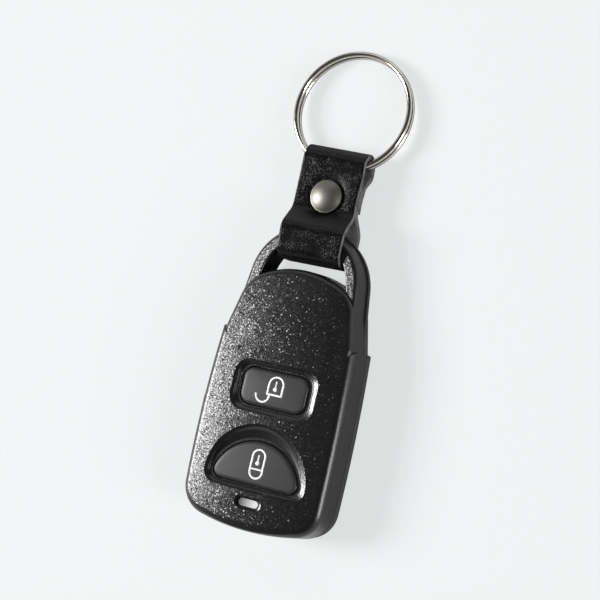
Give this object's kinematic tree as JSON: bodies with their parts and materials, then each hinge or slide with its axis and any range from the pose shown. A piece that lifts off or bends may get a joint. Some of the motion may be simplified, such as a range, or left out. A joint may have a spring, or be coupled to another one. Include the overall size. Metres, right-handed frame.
{
  "type": "car key remote",
  "caption": "Flat black key remote with recessed unlock and lock buttons, a side button, a hanging loop, a riveted leather strap and a split ring.",
  "frame": {"origin": "middle of the flat back of the housing, in the plane that the part lies on", "axes": "+X across the housing to the right as seen from the buttons, +Y from the foot of the housing towards the key ring, +Z out of the face that carries the buttons"},
  "size_m": [0.0354, 0.1124, 0.0126],
  "materials": {
    "shell_black": "moulded grain with fine silvery flecks on the face",
    "button_rubber": "smooth matt",
    "mat_rubber": "matt",
    "lamp_lens": "milky, polished",
    "led_resin": "milky",
    "board_laminate": "lacquered",
    "chip_resin": "matt moulded",
    "chip_ceramic": "fired, matt",
    "switch_plate": "stamped, satin",
    "plunger_plastic": "smooth",
    "can_metal": "drawn, satin",
    "coil_copper": "enamelled wire",
    "cell_steel": "nickel plated, brushed",
    "contact_bronze": "plated spring strip",
    "screw_steel": "blackened",
    "strap_leather": "pebbled grain, raw grey flesh side",
    "rivet_nickel": "satin nickel",
    "ring_nickel": "polished nickel"
  },
  "bodies": {
    "housing": {"front_cover": "shell_black", "rear_cover": "shell_black", "cover_screw": "screw_steel", "keypad_mat": "mat_rubber", "led_window": "lamp_lens", "indicator_led": "led_resin", "circuit_board": "board_laminate", "unlock_switch": "switch_plate", "lock_switch": "switch_plate", "panic_switch": "switch_plate", "microcontroller": "chip_resin", "radio_filter": "can_metal", "crystal": "can_metal", "antenna_coil": "coil_copper", "board_resistors": "chip_resin", "board_capacitors": "chip_ceramic", "coin_cell": "cell_steel", "positive_contact": "contact_bronze", "negative_contact": "contact_bronze"},
    "unlock_button": {"unlock_button": "button_rubber"},
    "lock_button": {"lock_button": "button_rubber"},
    "panic_button": {"panic_button": "button_rubber"},
    "unlock_plunger": {"unlock_plunger": "plunger_plastic"},
    "lock_plunger": {"lock_plunger": "plunger_plastic"},
    "panic_plunger": {"panic_plunger": "plunger_plastic"},
    "strap_end": {"strap": "strap_leather", "rivet_cap": "rivet_nickel", "rivet_base": "rivet_nickel"},
    "key_ring": {"split_ring": "ring_nickel"}
  },
  "joints": [
    {"name": "unlock_press", "type": "slide", "parent": "housing", "child": "unlock_button", "axis": [0, 0, -1], "range_m": [0, 0.0006], "stiffness_N_per_m": 2500},
    {"name": "lock_press", "type": "slide", "parent": "housing", "child": "lock_button", "axis": [0, 0, -1], "range_m": [0, 0.0006], "stiffness_N_per_m": 2500},
    {"name": "panic_press", "type": "slide", "parent": "housing", "child": "panic_button", "axis": [1, 0, 0], "range_m": [0, 0.0005], "stiffness_N_per_m": 2500},
    {"name": "unlock_plunge", "type": "slide", "parent": "housing", "child": "unlock_plunger", "axis": [0, 0, -1], "range_m": [0, 0.00025]},
    {"name": "lock_plunge", "type": "slide", "parent": "housing", "child": "lock_plunger", "axis": [0, 0, -1], "range_m": [0, 0.00025]},
    {"name": "panic_plunge", "type": "slide", "parent": "housing", "child": "panic_plunger", "axis": [1, 0, 0], "range_m": [0, 0.00025]},
    {"name": "strap_swing", "type": "hinge", "parent": "housing", "child": "strap_end", "pos_m": [0, 0.0445, 0.00585], "axis": [1, 0, 0], "range_deg": [-80, 80], "deforming": ["strap"]},
    {"name": "ring_swing", "type": "hinge", "parent": "strap_end", "child": "key_ring", "pos_m": [0, 0.0631, 0.0035], "axis": [1, 0, 0], "range_deg": [-100, 100]}
  ],
  "couplings": [
    {"joint": "unlock_plunge", "follows": "unlock_press", "ratio": 0.4166},
    {"joint": "lock_plunge", "follows": "lock_press", "ratio": 0.4166},
    {"joint": "panic_plunge", "follows": "panic_press", "ratio": 0.4999}
  ]
}
